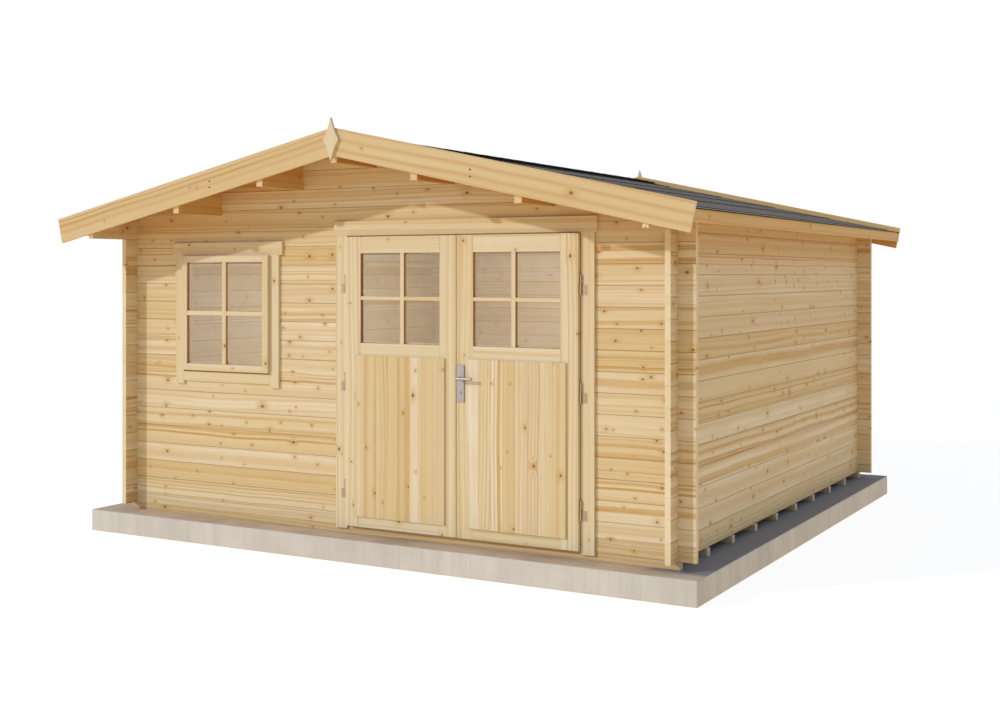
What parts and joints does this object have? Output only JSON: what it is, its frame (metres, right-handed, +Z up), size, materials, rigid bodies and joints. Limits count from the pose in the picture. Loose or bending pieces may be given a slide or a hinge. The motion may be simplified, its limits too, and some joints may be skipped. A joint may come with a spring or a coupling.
{
  "type": "log cabin",
  "caption": "Garden log cabin: interlocked log walls with crossed corner ends, low gable roof with overhangs, half-glazed double door, window, joists and a raised concrete slab.",
  "frame": {"origin": "underside of the slab, at the middle of the roof's outline", "axes": "+Z up, front with the door towards -Y, +X to the right when facing the front"},
  "size_m": [4.574, 4.608, 2.6947],
  "materials": {
    "concrete": "rough",
    "pine_log": "satin",
    "pine_board": "satin",
    "roof_felt": "rough",
    "glass": "clear",
    "steel": "brushed"
  },
  "bodies": {
    "cabin": {"concrete_slab": "concrete", "floor_joists": "pine_board", "floor_deck": "pine_board", "left_wall": "pine_log", "right_wall": "pine_log", "rear_wall": "pine_log", "rear_gable": "pine_log", "front_wall_below_window": "pine_log", "front_wall_left_pier": "pine_log", "front_wall_middle_pier": "pine_log", "front_wall_right_pier": "pine_log", "front_gable": "pine_log", "ridge_purlin": "pine_log", "left_purlins": "pine_log", "right_purlins": "pine_log", "left_roof_deck": "pine_board", "right_roof_deck": "pine_board", "left_roof_covering": "roof_felt", "right_roof_covering": "roof_felt", "ridge_cap": "roof_felt", "eave_fascias": "pine_board", "front_bargeboards": "pine_board", "rear_bargeboards": "pine_board", "front_finial": "pine_board", "rear_finial": "pine_board", "door_frame": "pine_board", "door_threshold": "pine_board", "door_trims": "pine_board", "inner_trims": "pine_board", "window_frame": "pine_board", "window_sash": "pine_board", "window_glass": "glass", "window_trims": "pine_board", "door_frame_hinges": "steel"},
    "left_leaf": {"left_leaf_frame": "pine_board", "left_leaf_panel": "pine_board", "left_leaf_glass": "glass", "left_leaf_hinges": "steel"},
    "right_leaf": {"right_leaf_frame": "pine_board", "right_leaf_panel": "pine_board", "right_leaf_glass": "glass", "right_leaf_hinges": "steel", "handle_plates": "steel"},
    "lever": {"lever_handle": "steel"}
  },
  "joints": [
    {"name": "left_leaf_hinge", "type": "hinge", "parent": "cabin", "child": "left_leaf", "pos_m": [-0.1905, -1.886, 1.093], "axis": [0, 0, -1], "range_deg": [0, 120]},
    {"name": "right_leaf_hinge", "type": "hinge", "parent": "cabin", "child": "right_leaf", "pos_m": [1.4405, -1.886, 1.093], "axis": [0, 0, 1], "range_deg": [0, 120]},
    {"name": "lever_turn", "type": "hinge", "parent": "right_leaf", "child": "lever", "pos_m": [0.6585, -1.903, 1.148], "axis": [0, 1, 0], "range_deg": [0, 40], "stiffness_Nm_per_rad": 1.5, "springref_deg": -28.65}
  ]
}
